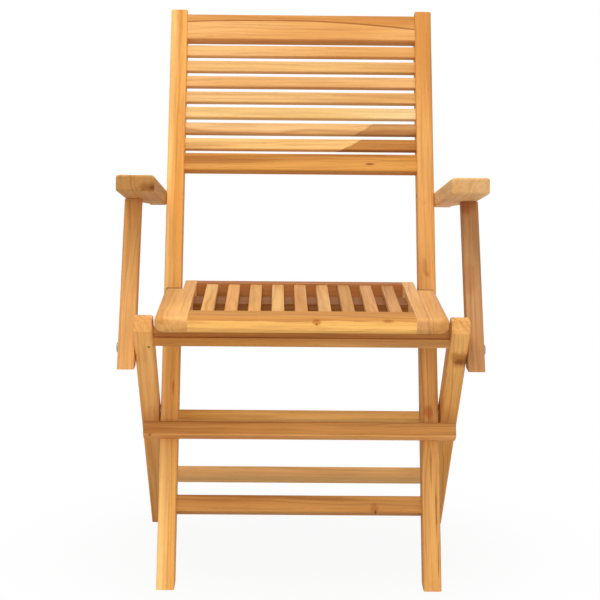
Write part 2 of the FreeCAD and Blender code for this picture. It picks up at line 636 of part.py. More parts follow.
def nut(label, y, z, side):
    """A hexagon nut on the end of a bolt, sunk into the post's inner face."""
    body = new_piece(label, y, z)
    sketch = new_sketch(body, "hexagon", "YZ", mirrored(side, "nut_seat"))
    corners = [("nut_corner_radius * cos(%d)" % angle, "nut_corner_radius * sin(%d)" % angle)
               for angle in range(0, 360, 60)]
    add_loop(sketch, corners)
    add_circle(sketch, "0", "0", "bolt_hole")
    pad(body, sketch, "nut_thick", SIDES[side] > 0)
    return body


def washer(label, side):
    """The washer that keeps a leg off its post at the crossing."""
    body = new_piece(label, "pivot_y", "pivot_z")
    sketch = new_sketch(body, "ring", "YZ", mirrored(side, "post_outer + bolt_seat_gap"))
    add_circle(sketch, "0", "0", "washer_radius")
    add_circle(sketch, "0", "0", "bolt_hole")
    pad(body, sketch, "leg_play - 2 * bolt_seat_gap", SIDES[side] < 0)
    return body


def hinge_leaf(label, y, z, tilt, lean, side, middle, outer_knuckles):
    """A leaf of a butt hinge: its own Z points away from the leaf, its own Y to one face."""
    body = new_piece(label, y, z, tilt, lean)
    toward = "1" if outer_knuckles else "-1"
    start = "%s - hinge_wide / 2" % mirrored(side, middle)
    plate = new_sketch(body, "plate", "YZ", start)
    add_box(plate, "%s * (hinge_offset - hinge_leaf_thick)" % toward, "%s * hinge_offset" % toward,
            "-hinge_leaf_long", "0")
    pad(body, plate, "hinge_wide")
    step = "(knuckle_wide + hinge_gap)"
    for place in range(3):
        own = (place != 1) == outer_knuckles
        from_x = "%s + %d * %s" % (start, place, step)
        if own:
            knuckle = new_sketch(body, "knuckle_%d" % place, "YZ", from_x)
            add_circle(knuckle, "0", "0", "hinge_knuckle")
            pad(body, knuckle, "knuckle_wide")
        else:
            room = new_sketch(body, "room_%d" % place, "YZ", "%s - hinge_gap" % from_x)
            add_circle(room, "0", "0", "hinge_knuckle + hinge_gap")
            cut(body, room, "knuckle_wide + 2 * hinge_gap", True)
    if outer_knuckles:
        pin = new_sketch(body, "pin", "YZ", start)
        add_circle(pin, "0", "0", "hinge_pin")
        pad(body, pin, "hinge_wide")
    else:
        bore = new_sketch(body, "bore", "YZ", start)
        add_circle(bore, "0", "0", "hinge_pin + bolt_play")
        cut(body, bore, "hinge_wide", True)
    return body


pieces = []
for label in BACK_RAILS:
    pieces.append(back_rail(label))
pieces += [stop_bar(), leg_crossbar(), leg_upper_rung(), leg_lower_rung()]
for label in SEAT_RAILS:
    pieces.append(seat_rail(label))
for count in range(SEAT_SLATS):
    pieces.append(seat_slat(count))
for side in SIDES:
    pieces += [post(side), leg(side), seat_side_rail(side), arm(side), strut(side)]
    nut_end = "nut_seat - nut_thick - bolt_end"
    pieces.append(bolt("leg_bolt_" + side, "pivot_y", "pivot_z", side,
                       "leg_outer - head_recess + bolt_seat_gap", nut_end))
    pieces.append(bolt("arm_bolt_" + side, "arm_y", "arm_z", side, "arm_tail_outer + bolt_seat_gap", nut_end))
    pieces.append(bolt("strut_bolt_" + side, "strut_y", "strut_z", side, "strut_outer + bolt_seat_gap",
                       "strut_inner"))
    pieces.append(nut("leg_nut_" + side, "pivot_y", "pivot_z", side))
    pieces.append(nut("arm_nut_" + side, "arm_y", "arm_z", side))
    pieces.append(washer("leg_washer_" + side, side))
    pieces.append(hinge_leaf("seat_hinge_post_leaf_" + side, "seat_hinge_y", "seat_hinge_z", "post_lean", 1,
                             side, "seat_hinge_x", True))
    pieces.append(hinge_leaf("seat_hinge_seat_leaf_" + side, "seat_hinge_y", "seat_hinge_z", "post_lean", 1,
                             side, "seat_hinge_x", False))
    pieces.append(hinge_leaf("strut_hinge_arm_leaf_" + side, "arm_hinge_y", "arm_hinge_z", "90 - arm_slope",
                             -1, side, "strut_hinge_x", True))
    pieces.append(hinge_leaf("strut_hinge_strut_leaf_" + side, "arm_hinge_y", "arm_hinge_z", "strut_lean",
                             1, side, "strut_hinge_x", False))

doc.recompute()
for item in doc.Objects:
    if "Invalid" in item.State or "Error" in item.State:
        raise RuntimeError(item.Name + " failed")
for body in pieces:
    if body.Shape.isNull() or not body.Shape.isValid() or len(body.Shape.Solids) != 1:
        raise RuntimeError(body.Label + " is not one sound solid")
os.makedirs("parts", exist_ok=True)
for body in pieces:
    body.Shape.exportStep("parts/%s.step" % body.Label)
print(len(pieces), "pieces")
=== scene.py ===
# Folding teak armchair: the finish of its wood and metal, around the fixed frame.
import math
import random

import bpy
from mathutils import Euler, Matrix, Vector


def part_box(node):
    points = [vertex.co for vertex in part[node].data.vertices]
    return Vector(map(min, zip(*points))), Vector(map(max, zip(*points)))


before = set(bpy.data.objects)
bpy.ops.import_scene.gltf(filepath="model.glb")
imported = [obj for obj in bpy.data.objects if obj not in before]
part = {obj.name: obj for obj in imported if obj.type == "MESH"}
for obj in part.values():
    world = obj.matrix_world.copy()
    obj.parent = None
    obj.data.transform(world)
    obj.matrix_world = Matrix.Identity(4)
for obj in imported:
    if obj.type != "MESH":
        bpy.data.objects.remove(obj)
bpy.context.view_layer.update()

# Camera. The photograph is taken from almost straight in front, from just above the back's top,
# with a long lens. The camera looks down by nearly 9 degrees and is turned and rolled by about half
# a degree.
CAMERA_SIDE = -0.0378
CAMERA_BEFORE_FEET = 3.0
CAMERA_HEIGHT = 0.92
CAMERA_YAW = math.radians(0.67)
CAMERA_DOWN = math.radians(8.77)
CAMERA_ROLL = math.radians(0.55)
SENSOR_WIDTH = 36
FOCAL_LENGTH = 119.98
front_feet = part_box("post_left")[0].y
spot = Vector((CAMERA_SIDE, front_feet - CAMERA_BEFORE_FEET, CAMERA_HEIGHT))
forward = Vector((math.sin(CAMERA_YAW) * math.cos(CAMERA_DOWN),
                  math.cos(CAMERA_YAW) * math.cos(CAMERA_DOWN), -math.sin(CAMERA_DOWN)))
level = Vector((math.cos(CAMERA_YAW), -math.sin(CAMERA_YAW), 0))
upright = level.cross(forward)
right = level * math.cos(CAMERA_ROLL) + upright * math.sin(CAMERA_ROLL)
top = upright * math.cos(CAMERA_ROLL) - level * math.sin(CAMERA_ROLL)
lens = bpy.data.cameras.new("camera")
lens.sensor_width = SENSOR_WIDTH
lens.lens = FOCAL_LENGTH
camera = bpy.data.objects.new("camera", lens)
bpy.context.scene.collection.objects.link(camera)
turn = Matrix((right, top, -forward)).transposed().to_4x4()
camera.matrix_world = Matrix.Translation(spot) @ turn
bpy.context.scene.camera = camera
bpy.context.scene.view_settings.view_transform = "Standard"


# Floor and light. A plain pale floor under soft light from large lamps above and in front,
# with a white surround that the camera and glossy metal see.
def new_node(tree, kind, **settings):
    """A shader node with its settings and, under inputs, its own socket values."""
    values = settings.pop("inputs", {})
    node = tree.nodes.new(kind)
    for name, value in settings.items():
        setattr(node, name, value)
    for name, value in values.items():
        node.inputs[name].default_value = value
    return node


def paint(red, green, blue):
    """A colour given as it looks on a screen, from 0 to 255, as the shader's linear colour."""
    shares = [value / 255 for value in (red, green, blue)]
    return [((s + 0.055) / 1.055) ** 2.4 if s > 0.04045 else s / 12.92 for s in shares] + [1]


def new_material(name):
    """An empty node material with its Principled shader."""
    material = bpy.data.materials.new(name)
    material.use_nodes = True
    return material, material.node_tree, material.node_tree.nodes["Principled BSDF"]


def viewer_mask(tree):
    """One for rays that the camera sees directly, in a mirror or through glass."""
    rays = new_node(tree, "ShaderNodeLightPath")
    mask = rays.outputs["Is Camera Ray"]
    for name in ("Is Glossy Ray", "Is Transmission Ray"):
        either = new_node(tree, "ShaderNodeMath", operation="MAXIMUM")
        tree.links.new(mask, either.inputs[0])
        tree.links.new(rays.outputs[name], either.inputs[1])
        mask = either.outputs[0]
    return mask


WHITE = (1, 1, 1, 1)
FLOOR_RADIUS = 30
FLOOR_CORNERS = 96
FLOOR_GREY = (200, 200, 200)
FLOOR_ROUGHNESS = 0.9
FLOOR_GLOSS = 0.1
SHADOW_REACH = 0.15
WHITE_FROM = 0.6
WHITE_IN_SHADOW = 0.92
SURROUND_LIGHT = 0.56
bpy.ops.object.select_all(action="DESELECT")
bpy.ops.mesh.primitive_circle_add(vertices=FLOOR_CORNERS, radius=FLOOR_RADIUS, fill_type="NGON",
                                  location=(0, 0, 0))
floor = bpy.context.object
floor.name = "floor"
floor_paint, floor_tree, floor_shader = new_material("floor_paint")
floor_shader.inputs["Base Color"].default_value = paint(*FLOOR_GREY)
floor_shader.inputs["Roughness"].default_value = FLOOR_ROUGHNESS
floor_shader.inputs["Specular IOR Level"].default_value = FLOOR_GLOSS
# Near the chair the floor keeps a light shadow; further out a viewer sees it plain white
place = new_node(floor_tree, "ShaderNodeTexCoord")
distance = new_node(floor_tree, "ShaderNodeVectorMath", operation="LENGTH")
whiteness = new_node(floor_tree, "ShaderNodeMapRange", interpolation_type="SMOOTHSTEP", inputs={
    "From Min": SHADOW_REACH, "From Max": WHITE_FROM, "To Min": WHITE_IN_SHADOW, "To Max": 1.0})
white = new_node(floor_tree, "ShaderNodeEmission", inputs={"Color": WHITE})
plain = new_node(floor_tree, "ShaderNodeMixShader")
share = new_node(floor_tree, "ShaderNodeMath", operation="MULTIPLY")
floor_link = floor_tree.links.new
floor_link(place.outputs["Object"], distance.inputs[0])
floor_link(distance.outputs["Value"], whiteness.inputs["Value"])
floor_link(whiteness.outputs["Result"], share.inputs[0])
floor_link(viewer_mask(floor_tree), share.inputs[1])
floor_link(share.outputs[0], plain.inputs["Fac"])
floor_link(floor_shader.outputs[0], plain.inputs[1])
floor_link(white.outputs[0], plain.inputs[2])
floor_link(plain.outputs[0], floor_tree.nodes["Material Output"].inputs["Surface"])
floor.data.materials.append(floor_paint)

surround = bpy.data.worlds.new("surround")
bpy.context.scene.world = surround
surround.use_nodes = True
sky = surround.node_tree
backdrop = sky.nodes["Background"]
backdrop.inputs["Color"].default_value = WHITE
strength = new_node(sky, "ShaderNodeMapRange", inputs={"To Min": SURROUND_LIGHT, "To Max": 1.0})
sky.links.new(viewer_mask(sky), strength.inputs["Value"])
sky.links.new(strength.outputs["Result"], backdrop.inputs["Strength"])

# Square soft lamps, each by its place, its width in metres and its power in watts; all face the seat
SEAT_MIDDLE = Vector((0, 0, 0.45))
LAMPS = {"key_lamp": ((-0.5, -1.5, 3.0), 1.4, 43), "front_lamp": ((0.3, -3.6, 0.6), 1.15, 30),
         "side_lamp": ((1.9, -2.2, 2.0), 1.6, 9), "top_lamp": ((0.2, 0.6, 3.2), 2.0, 15)}
for name, (position, width, power) in LAMPS.items():
    lamp = bpy.data.lights.new(name, "AREA")
    lamp.shape = "SQUARE"
    lamp.size = width
    lamp.energy = power
    holder = bpy.data.objects.new(name, lamp)
    bpy.context.scene.collection.objects.link(holder)
    holder.location = position
    holder.rotation_euler = (SEAT_MIDDLE - Vector(position)).to_track_quat("-Z", "Y").to_euler()


# Posts. Each is one straight teak board, sawn and sanded, from front foot to back top.
# Teak is honey brown with darker growth bands, pale sapwood at some edges and fine open pores.
def new_group(name, taken, given_out):
    """A node group with its sockets and their kinds, as its tree, input node and output node."""
    group = bpy.data.node_groups.new(name, "ShaderNodeTree")
    for way, sockets in (("INPUT", taken), ("OUTPUT", given_out)):
        for socket, kind in sockets.items():
            group.interface.new_socket(socket, in_out=way, socket_type="NodeSocket" + kind)
    return group, new_node(group, "NodeGroupInput"), new_node(group, "NodeGroupOutput")


def fill(tree, sockets, values):
    """Link or set the first sockets of a node."""
    for socket, value in zip(sockets, values):
        if isinstance(value, bpy.types.NodeSocket):
            tree.links.new(value, socket)
        else:
            socket.default_value = value


def maths(tree, operation, *values):
    """One step of arithmetic on numbers."""
    node = new_node(tree, "ShaderNodeMath", operation=operation)
    fill(tree, node.inputs, values)
    return node.outputs[0]


def vector_maths(tree, operation, *values):
    """One step of arithmetic on vectors."""
    node = new_node(tree, "ShaderNodeVectorMath", operation=operation)
    fill(tree, node.inputs, values)
    return node.outputs["Value" if operation in ("LENGTH", "DOT_PRODUCT") else "Vector"]


def noise(tree, vector, stretch, detail=3.0, rough=0.55):
    """Noise whose stretch says how fast it changes along the grain and across it, per metre."""
    texture = new_node(tree, "ShaderNodeTexNoise",
                       inputs={"Scale": 1.0, "Detail": detail, "Roughness": rough})
    tree.links.new(vector_maths(tree, "MULTIPLY", vector, stretch), texture.inputs["Vector"])
    return texture


def ranged(tree, source, low, high, to_low=0.0, to_high=1.0, smooth=True):
    """A value brought from one range to another."""
    node = new_node(tree, "ShaderNodeMapRange", inputs={
        "From Min": low, "From Max": high, "To Min": to_low, "To Max": to_high})
    node.interpolation_type = "SMOOTHSTEP" if smooth else "LINEAR"
    tree.links.new(source, node.inputs["Value"])
    return node.outputs["Result"]


def blended(tree, factor, first, second, kind="MIX"):
    """Two colours mixed, or the first multiplied by the second, by a factor."""
    node = new_node(tree, "ShaderNodeMix", data_type="RGBA", blend_type=kind)
    fill(tree, (node.inputs["Factor"], node.inputs["A"], node.inputs["B"]), (factor, first, second))
    return node.outputs["Result"]


def teak_group():
    """Colour, roughness and height of teak whose grain runs along X of the given vector."""
    group, given, result = new_group(
        "teak_grain",
        {"Vector": "Vector", "Pale": "Color", "Body": "Color", "Dark": "Color", "Sap": "Color",
         "Bands": "Float", "Streaks": "Float", "Sap Radius": "Float", "Ends": "Float"},
        {"Color": "Color", "Roughness": "Float", "Height": "Float"})
    vector = given.outputs["Vector"]
    dark = given.outputs["Dark"]

    def grain(stretch, detail, **limits):
        """A pattern drawn out along the grain, brought into its limits."""
        return ranged(group, noise(group, vector, stretch, detail).outputs["Fac"], **limits)

    # The board's wander inside the log bends its growth rings, which are uneven in width
    wander_reach = 0.03
    wander = noise(group, vector, stretch=(2.2, 9.0, 9.0)).outputs["Color"]
    centred = vector_maths(group, "SUBTRACT", wander, (0.5, 0.5, 0.5))
    shift = new_node(group, "ShaderNodeVectorMath", operation="SCALE", inputs={"Scale": wander_reach})
    group.links.new(centred, shift.inputs[0])
    bent = vector_maths(group, "ADD", vector, shift.outputs[0])
    radius = vector_maths(group, "LENGTH", vector_maths(group, "MULTIPLY", bent, (0, 1, 1)))

    def rings(per_metre, **limits):
        """Rings round the pith, brought into their limits."""
        ring = new_node(group, "ShaderNodeTexNoise", noise_dimensions="1D",
                        inputs={"Scale": per_metre, "Detail": 2.0, "Roughness": 0.6})
        group.links.new(radius, ring.inputs["W"])
        return ranged(group, ring.outputs["Fac"], **limits)

    patchy = grain((2.5, 25.0, 25.0), detail=2.0, low=0.35, high=0.65, to_low=0.35)
    wide_ring = rings(130.0, low=0.48, high=0.72)
    fine_ring = rings(520.0, low=0.45, high=0.75, to_high=0.6)
    band = maths(group, "MULTIPLY", maths(group, "MAXIMUM", wide_ring, fine_ring), patchy)
    streak = grain((1.5, 60.0, 60.0), detail=3.0, low=0.5, high=0.72)
    thin_streak = grain((4.0, 240.0, 240.0), detail=3.0, low=0.45, high=0.7, to_high=0.3)
    broad = grain((1.6, 14.0, 14.0), detail=2.0, low=0.35, high=0.68)
    fibre = noise(group, vector, stretch=(22.0, 1100.0, 1100.0), detail=2.0, rough=0.6).outputs["Fac"]
    pores = grain((45.0, 900.0, 900.0), detail=2.0, low=0.62, high=0.74)

    # Growth bands, sapwood colour, brown streaks, pores and end grain are laid over each other in turn;
    # the sapwood colour is real sapwood at a board's edge, and painted light where it covers a whole
    # piece
    sap_and_light_share = 0.75
    pore_share = 0.35
    base = blended(group, broad, given.outputs["Pale"], given.outputs["Body"])
    banded = blended(group, maths(group, "MULTIPLY", band, given.outputs["Bands"]), base, dark)
    sap_and_light_edge = maths(group, "SUBTRACT", radius, given.outputs["Sap Radius"])
    sap_and_painted_light = maths(group, "MULTIPLY", ranged(group, sap_and_light_edge, low=-0.002, high=0.003), sap_and_light_share)
    sapped_and_lit = blended(group, sap_and_painted_light, banded, given.outputs["Sap"])
    brown = maths(group, "MULTIPLY", streak, given.outputs["Streaks"])
    streaked = blended(group, maths(group, "MAXIMUM", brown, thin_streak), sapped_and_lit, dark)
    speckled = blended(group, maths(group, "MULTIPLY", pores, pore_share), streaked, dark)
    group.links.new(blended(group, given.outputs["Ends"], speckled, dark), result.inputs["Color"])

    # Pores and fibres make the surface rougher, and the bands stand a little proud
    pore_roughness = 0.12
    band_height = 0.35
    rough = ranged(group, fibre, low=0.3, high=0.7, to_low=0.56, to_high=0.68, smooth=False)
    rougher = maths(group, "ADD", rough, maths(group, "MULTIPLY", pores, pore_roughness))
    group.links.new(rougher, result.inputs["Roughness"])
    raised = maths(group, "ADD", fibre, maths(group, "MULTIPLY", band, band_height))
    group.links.new(maths(group, "SUBTRACT", raised, pores), result.inputs["Height"])
    return group


def heart_group():
    """Wood tinted on one side of a wavering line, as where heartwood meets paler wood."""
    group, given, result = new_group(
        "heart_edge",
        {"Color": "Color", "Point": "Vector", "Grain": "Vector", "Place": "Vector", "Side": "Vector",
         "Tint": "Color", "Share": "Float", "Soft": "Float", "Wander": "Float", "Line": "Float",
         "Bow": "Float"},
        {"Color": "Color"})
    take = given.outputs
    line_tint = (0.42, 0.28, 0.16, 1)
    reach = vector_maths(group, "SUBTRACT", take["Point"], take["Place"])
    away = vector_maths(group, "DOT_PRODUCT", reach, take["Side"])
    bowed = maths(group, "MULTIPLY", vector_maths(group, "DOT_PRODUCT", reach, reach), take["Bow"])
    uneven = noise(group, take["Grain"], stretch=(7.0, 60.0, 60.0)).outputs["Fac"]
    waver = maths(group, "MULTIPLY", maths(group, "SUBTRACT", uneven, 0.5), take["Wander"])
    depth = maths(group, "ADD", maths(group, "ADD", away, bowed), waver)
    steps = maths(group, "DIVIDE", depth, take["Soft"])
    inside = maths(group, "MULTIPLY", ranged(group, steps, low=-1.0, high=1.0), take["Share"])
    tinted_side = blended(group, inside, take["Color"], take["Tint"], "MULTIPLY")
    edge = ranged(group, maths(group, "ABSOLUTE", steps), low=0.2, high=1.4, to_low=1.0, to_high=0.0)
    line = maths(group, "MULTIPLY", edge, take["Line"])
    group.links.new(blended(group, line, tinted_side, line_tint, "MULTIPLY"), result.inputs["Color"])
    return group


def mark_group():
    """A knot, stain or dark streak: wood tinted inside an uneven oval."""
    group, given, result = new_group(
        "wood_mark",
        {"Color": "Color", "Point": "Vector", "Grain": "Vector", "Place": "Vector", "Size": "Vector",
         "Tint": "Color", "Share": "Float"},
        {"Color": "Color"})
    take = given.outputs
    unevenness = 0.9
    away = vector_maths(group, "SUBTRACT", take["Point"], take["Place"])
    oval = vector_maths(group, "LENGTH", vector_maths(group, "DIVIDE", away, take["Size"]))
    uneven = noise(group, take["Grain"], stretch=(30.0, 130.0, 130.0), detail=2.0).outputs["Fac"]
    waver = maths(group, "MULTIPLY", maths(group, "SUBTRACT", uneven, 0.5), unevenness)
    reach = maths(group, "ADD", oval, waver)
    inside = ranged(group, reach, low=0.35, high=1.05, to_low=1.0, to_high=0.0)
    factor = maths(group, "MULTIPLY", inside, take["Share"])
    marked = blended(group, factor, take["Color"], take["Tint"], "MULTIPLY")
    group.links.new(marked, result.inputs["Color"])
    return group


TEAK_GROUP = teak_group()
HEART_GROUP = heart_group()
MARK_GROUP = mark_group()
PALE = (229, 175, 98)
BODY = (209, 147, 69)
DARK = (152, 92, 39)
SAP_AND_PAINTED_LIGHT = (236, 186, 112)
WARM_RED = 0.3
WARM_GREEN = -0.35
WARM_BLUE = -0.8
LOG_LENGTH = 9
PITH_DISTANCE = 0.055
PITH_SWING = (0.5, 2.6)
WOOD_GLOSS = 0.12
END_GRAIN_FROM = 0.55
END_GRAIN_FULL = 0.95
BUMP_STRENGTH = 0.25
BUMP_HEIGHT = 0.0006
boards = random.Random(7)


def tinted(colour, tone, warmth, gold):
    """A colour made lighter or darker by tone, redder by warmth and yellower by gold."""
    red, green, blue = [value * (1 + tone) for value in colour]
    shifted = (red * (1 + warmth * WARM_RED), green * (1 + warmth * WARM_GREEN),
               blue * (1 + warmth * WARM_BLUE - gold))
    return paint(*[min(value, 255) for value in shifted])


def heart(place, side, tint, share, soft, wander, line, bow=0.0):
    """A tinted side of a board: a point on its edge, and the way in from the edge."""
    return HEART_GROUP, {"Place": place, "Side": Vector(side).normalized(), "Tint": (*tint, 1),
                         "Share": share, "Soft": soft, "Wander": wander, "Line": line, "Bow": bow}


def mark(place, size, tint, share):
    """A knot, stain or streak: its middle and its three half sizes."""
    return MARK_GROUP, {"Place": place, "Size": size, "Tint": (*tint, 1), "Share": share}


def dress(name, material):
    """Give a node of the frame one material in all its slots."""
    mesh = part[name].data
    mesh.materials.clear()
    mesh.materials.append(material)


def finish_in_teak(name, *, hue, lean=None, bands=0.5, streaks=0.4, sap_and_painted_light=0.2, tilt=1.2, pith=None,
                   ends=0.45, figures=()):
    """Teak on one piece, its grain along X, or leaning back from upright by a number of degrees.

    hue is the board's tone, warmth and gold, which on the seat's rear rail and batten also holds painted
    shade and on the lower rung painted light; bands and streaks are how strongly these show; tilt is
    how far its grain runs out, in degrees; pith is the piece's place beside the middle of its log, and
    beyond the given radius the wood takes the sapwood colour, which on the lower rung, with a radius of
    nought, covers the whole piece as painted light; ends is how much darker its end grain is; figures
    are its heartwood edges, knots and stains."""
    material, tree, shader = new_material("teak_" + name)
    along = Euler((0, 0, 0)) if lean is None else Euler((math.radians(lean), math.pi / 2, 0))
    along.z += math.radians(tilt) * boards.choice((-1, 1))
    low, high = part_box(name)
    middle = along.to_matrix() @ ((low + high) / 2)
    swing = boards.uniform(*PITH_SWING)
    across = pith or (math.cos(swing) * PITH_DISTANCE, math.sin(swing) * PITH_DISTANCE)
    log = Vector((boards.uniform(0, LOG_LENGTH), *across))
    coordinates = new_node(tree, "ShaderNodeTexCoord")
    mapping = new_node(tree, "ShaderNodeMapping", inputs={"Rotation": along, "Location": log - middle})
    wood = new_node(tree, "ShaderNodeGroup", node_tree=TEAK_GROUP)
    for socket, colour in (("Pale", PALE), ("Body", BODY), ("Dark", DARK), ("Sap", SAP_AND_PAINTED_LIGHT)):
        wood.inputs[socket].default_value = tinted(colour, *hue)
    for socket, value in (("Bands", bands), ("Streaks", streaks), ("Sap Radius", sap_and_painted_light)):
        wood.inputs[socket].default_value = value
    # End grain is darker: it faces along the grain
    grain = along.to_matrix().transposed() @ Vector((1, 0, 0))
    normal = coordinates.outputs["Normal"]
    facing = maths(tree, "ABSOLUTE", vector_maths(tree, "DOT_PRODUCT", normal, grain))
    darkening = ranged(tree, facing, END_GRAIN_FROM, END_GRAIN_FULL, 0.0, ends, smooth=False)
    link = tree.links.new
    link(darkening, wood.inputs["Ends"])
    link(coordinates.outputs["Object"], mapping.inputs["Vector"])
    link(mapping.outputs["Vector"], wood.inputs["Vector"])
    colour = wood.outputs["Color"]
    for group, values in figures:
        figure = new_node(tree, "ShaderNodeGroup", node_tree=group)
        for socket, value in values.items():
            figure.inputs[socket].default_value = value
        link(colour, figure.inputs["Color"])
        link(coordinates.outputs["Object"], figure.inputs["Point"])
        link(mapping.outputs["Vector"], figure.inputs["Grain"])
        colour = figure.outputs["Color"]
    link(colour, shader.inputs["Base Color"])
    link(wood.outputs["Roughness"], shader.inputs["Roughness"])
    bump = new_node(tree, "ShaderNodeBump", inputs={"Strength": BUMP_STRENGTH, "Distance": BUMP_HEIGHT})
    link(wood.outputs["Height"], bump.inputs["Height"])
    link(bump.outputs["Normal"], shader.inputs["Normal"])
    shader.inputs["Specular IOR Level"].default_value = WOOD_GLOSS
    dress(name, material)


POST_LEAN = 27.4
HEARTWOOD = (0.82, 0.7, 0.5)
BROWN = (0.54, 0.37, 0.21)
REDDISH = (0.66, 0.36, 0.24)
KNOT = (0.4, 0.24, 0.12)
finish_in_teak("post_left", lean=POST_LEAN, hue=(0.081, 0.017, -0.018), bands=0.4, streaks=0.35,
               sap_and_painted_light=0.058, pith=(0, 0.052), figures=(
    heart((-0.206, 0, 0), (1, 0, 0), HEARTWOOD, share=0.6, soft=0.002, wander=0.009, line=0.2),
    mark((-0.2033, -0.066, 0.2911), (0.0026, 0.02, 0.018), REDDISH, share=0.7)))
finish_in_teak("post_right", lean=POST_LEAN, hue=(-0.023, 0.053, -0.045), bands=0.55,
               streaks=0.5, figures=(
    mark((0.207, -0.0837, 0.2569), (0.01, 0.04, 0.014), REDDISH, share=0.7),
    mark((0.2155, -0.1572, 0.115), (0.0012, 0.06, 0.05), KNOT, share=0.95),
    mark((0.2086, -0.1275, 0.1723), (0.0011, 0.06, 0.04), KNOT, share=0.8),
    mark((0.2175, -0.1938, 0.0444), (0.0009, 0.04, 0.035), KNOT, share=0.9),
    mark((0.2046, 0.0304, 0.4770), (0.005, 0.015, 0.018), BROWN, share=0.45),
    mark((0.2085, 0.0237, 0.4640), (0.0035, 0.008, 0.006), REDDISH, share=0.6)))

# Back. A broad top rail, seven thin slats and a bottom rail are tenoned into the posts.
# Each is its own board, so some are paler and some are streaked or wedged with brown.
TOP_HEARTWOOD = (0.76, 0.64, 0.44)
SMALL_KNOT = (0.35, 0.2, 0.12)
finish_in_teak("back_top_rail", hue=(0.036, -0.008, -0.144), bands=0.25, streaks=0.15, figures=(
    heart((-0.06, 0.243, 0.8707), (0, 0, 1), TOP_HEARTWOOD, share=0.8, soft=0.0013, wander=0.004,
          line=0.85, bow=0.2),))
finish_in_teak("back_bottom_rail", hue=(-0.110, 0.124, 0.068), bands=0.6, streaks=0.6, figures=(
    mark((0.1159, 0.1175, 0.6363), (0.009, 0.02, 0.002), SMALL_KNOT, share=0.9),))
# Each back slat, from the lowest, by its hue and its bands; the lowest two end in a brown wedge
BACK_SLATS = {1: ((0.056, -0.051, -0.098), 0.7), 2: ((0.105, -0.132, -0.257), 0.95),
              3: ((0.153, -0.215, -0.281), 0.3), 4: ((0.019, -0.053, -0.148), 0.35),
              5: ((0.030, -0.037, -0.177), 0.4), 6: ((-0.007, -0.035, -0.109), 0.3),
              7: ((0.027, -0.029, -0.139), 0.35)}
STREAKS_PER_BAND = 0.8
WEDGES = {1: (heart((0.085, 0.137, 0.6658), (0.482, 0, -0.876), BROWN, share=0.9, soft=0.0008,
                    wander=0.012, line=0.35),),
          2: (heart((0.1045, 0.15, 0.6903), (0.5, 0, -0.866), BROWN, share=0.6, soft=0.0014,
                    wander=0.012, line=0.35),)}
for number, (hue, bands) in BACK_SLATS.items():
    finish_in_teak("back_slat_%d" % number, hue=hue, bands=bands, streaks=bands * STREAKS_PER_BAND,
                   figures=WEDGES.get(number, ()))

# Stop bar and low stretcher. The bar lies across the posts' fronts, is darker along its upper
# side and has a red stain at one end; the stretcher is dark all over and has a knot.
BAR_HEARTWOOD = (0.74, 0.66, 0.56)
CRACK = (0.3, 0.16, 0.1)
finish_in_teak("stop_bar", hue=(0.031, 0.063, -0.063), bands=0.6, streaks=0.6, figures=(
    heart((0, -0.1279, 0.2290), (0, 0, 1), BAR_HEARTWOOD, share=0.9, soft=0.001, wander=0.004, line=0.3),
    mark((-0.2371, -0.1292, 0.2255), (0.0035, 0.01, 0.0035), REDDISH, share=0.9)))
finish_in_teak("low_stretcher", hue=(-0.135, 0.115, -0.019), bands=0.8, streaks=0.6, figures=(
    mark((0.119, -0.1459, 0.1135), (0.008, 0.02, 0.010), BROWN, share=0.45),
    mark((0.1205, -0.1459, 0.1085), (0.0022, 0.02, 0.005), CRACK, share=0.9)))

# Legs. Two boards outside the posts, from rear foot to seat front, with a level top.
# A crossbar and a lower rung are tenoned between them and an upper rung is lapped over them.
LEG_LEAN = -47.4
KNOT_MIDDLE = (0.42, 0.24, 0.13)
finish_in_teak("leg_left", lean=LEG_LEAN, hue=(0.115, 0.030, -0.080), bands=0.5, streaks=0.35, figures=(
    mark((-0.2308, -0.2349, 0.3862), (0.0028, 0.006, 0.0028), CRACK, share=0.95),))
finish_in_teak("leg_right", lean=LEG_LEAN, hue=(0.108, 0.002, -0.058), bands=0.6, streaks=0.35, figures=(
    mark((0.2413, -0.2125, 0.3656), (0.018, 0.03, 0.024), BROWN, share=0.85),
    mark((0.2415, -0.21, 0.361), (0.010, 0.016, 0.009), KNOT_MIDDLE, share=0.6),
    mark((0.2465, -0.2405, 0.4322), (0.0009, 0.012, 0.006), CRACK, share=0.9)))
finish_in_teak("leg_crossbar", hue=(-0.047, 0.033, -0.077), bands=0.5, streaks=0.5)
finish_in_teak("leg_upper_rung", hue=(0.135, -0.022, -0.035), bands=0.3, streaks=0.3)
# Painted light: the lower rung is lightened, by its tone and by the sapwood colour spread over all of
# it, for the light it lacks low at the back
finish_in_teak("leg_lower_rung", hue=(0.125, 0.035, -0.110), bands=0.2, streaks=0.2, sap_and_painted_light=0.0)

